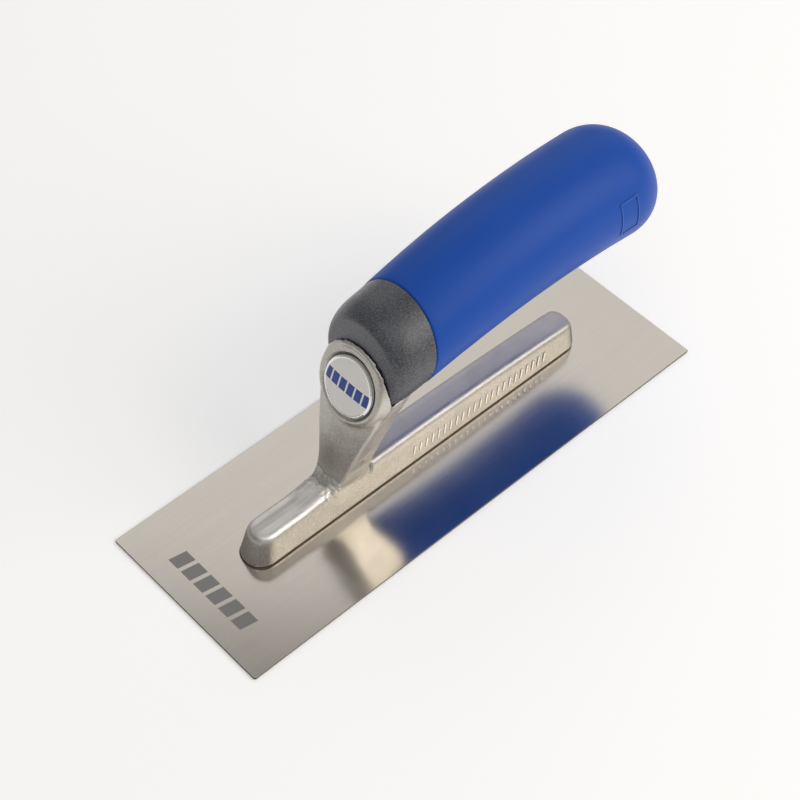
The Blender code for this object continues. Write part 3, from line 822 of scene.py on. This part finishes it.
def make_grip_frame(grip, surface):
    """A thin moulded frame that stands on the grip's side near its free end."""
    clear_selection()
    bpy.ops.mesh.primitive_grid_add(
        x_subdivisions=10,
        y_subdivisions=14,
        size=1,
        location=(FRAME_X, FRAME_START_Y, FRAME_Z),
        rotation=(math.pi / 2, 0, 0),
    )
    frame_line = named("grip_moulded_frame")
    frame_line.scale = (FRAME_LENGTH, FRAME_HEIGHT, 1)
    settle(frame_line)
    bpy.ops.object.mode_set(mode="EDIT")
    bpy.ops.mesh.select_mode(type="FACE")
    bpy.ops.mesh.select_all(action="SELECT")
    bpy.ops.mesh.inset(thickness=FRAME_LINE, use_boundary=True)
    bpy.ops.mesh.delete(type="FACE")
    bpy.ops.object.mode_set(mode="OBJECT")
    finish_with(
        frame_line,
        "SHRINKWRAP",
        target=grip,
        wrap_method="PROJECT",
        use_project_y=True,
        use_positive_direction=True,
    )
    finish_with(frame_line, "SOLIDIFY", thickness=FRAME_LINE, offset=0.0)
    return place(smooth(face_outwards(frame_line), 50), "sleeve", surface)


# ---------------------------------------------------------------- scene


def dress(node, surface):
    """Gives one of the frame's own pieces its finish."""
    mesh = frame["nodes"][node].data
    mesh.materials.clear()
    mesh.materials.append(surface)


def make_floor():
    clear_selection()
    bpy.ops.mesh.primitive_plane_add(size=FLOOR_SIZE, location=(0, 0, -FLOOR_DROP))
    floor = named("studio_floor")
    made, t, shader = new_finish("pale_studio_floor", Roughness=0.9)
    shader.inputs["Base Color"].default_value = (0.95, 0.95, 0.95, 1)
    shader.inputs["Emission Color"].default_value = (1, 1, 1, 1)
    shader.inputs["Emission Strength"].default_value = FLOOR_GLOW
    floor.data.materials.append(made)


def make_softbox(name, azimuth, height, distance, size, power, colour=(1, 1, 1)):
    """A square soft light that faces the trowel."""
    azimuth = math.radians(azimuth)
    height = math.radians(height)
    way = Vector((
        math.cos(height) * math.cos(azimuth),
        math.cos(height) * math.sin(azimuth),
        math.sin(height),
    ))
    lamp = bpy.data.lights.new(name, "AREA")
    lamp.shape = "RECTANGLE"
    lamp.size = size[0]
    lamp.size_y = size[1]
    lamp.energy = power
    lamp.color = colour
    light = bpy.data.objects.new(name, lamp)
    bpy.context.scene.collection.objects.link(light)
    light.location = way * distance + Vector((0, 0, LIGHTS_AIM_Z))
    light.rotation_euler = way.to_track_quat("Z", "Y").to_euler()


def make_world():
    world = bpy.data.worlds.new("soft_room")
    bpy.context.scene.world = world
    world.use_nodes = True
    background = world.node_tree.nodes["Background"]
    background.inputs["Color"].default_value = (1.0, 0.99, 0.98, 1)
    background.inputs["Strength"].default_value = ROOM_STRENGTH


def make_camera():
    """Looks down along the blade from its front left corner."""
    lens = bpy.data.cameras.new("camera")
    lens.lens = CAMERA_LENS
    lens.sensor_width = 36.0
    lens.clip_end = 50
    camera = bpy.data.objects.new("camera", lens)
    bpy.context.scene.collection.objects.link(camera)
    turn = Matrix.Rotation(CAMERA_TURN, 4, "Z")
    tilt = Matrix.Rotation(CAMERA_TILT, 4, "X")
    roll = Matrix.Rotation(CAMERA_ROLL, 4, "Z")
    camera.matrix_world = Matrix.Translation(CAMERA_PLACE) @ turn @ tilt @ roll
    bpy.context.scene.camera = camera


make_camera()
make_world()
make_floor()
make_softbox("rear_softbox", 45, 38, 1.3, (1.5, 1.0), 2.6)
make_softbox("right_softbox", -55, 38, 1.2, (1.0, 0.9), 6.6, (1.0, 0.95, 0.88))
make_softbox("front_softbox", -135, 66, 1.6, (1.2, 1.2), 2.5)

dress("blade", blade_steel())
aluminium = casting_metal()
make_casting(aluminium)
make_relief(aluminium)
make_adhesive(cured_adhesive())
make_core(speckled_plastic())
blue = soft_grip_plastic()
make_grip_frame(make_grip(blue), blue)
dress("badge_foil", printed_foil())
dress("badge_dome", clear_resin())
stud = stud_steel()
for number in range(1, STUD_COUNT + 1):
    dress("weld_stud_%d" % number, stud)

bpy.context.scene.view_settings.view_transform = "Standard"
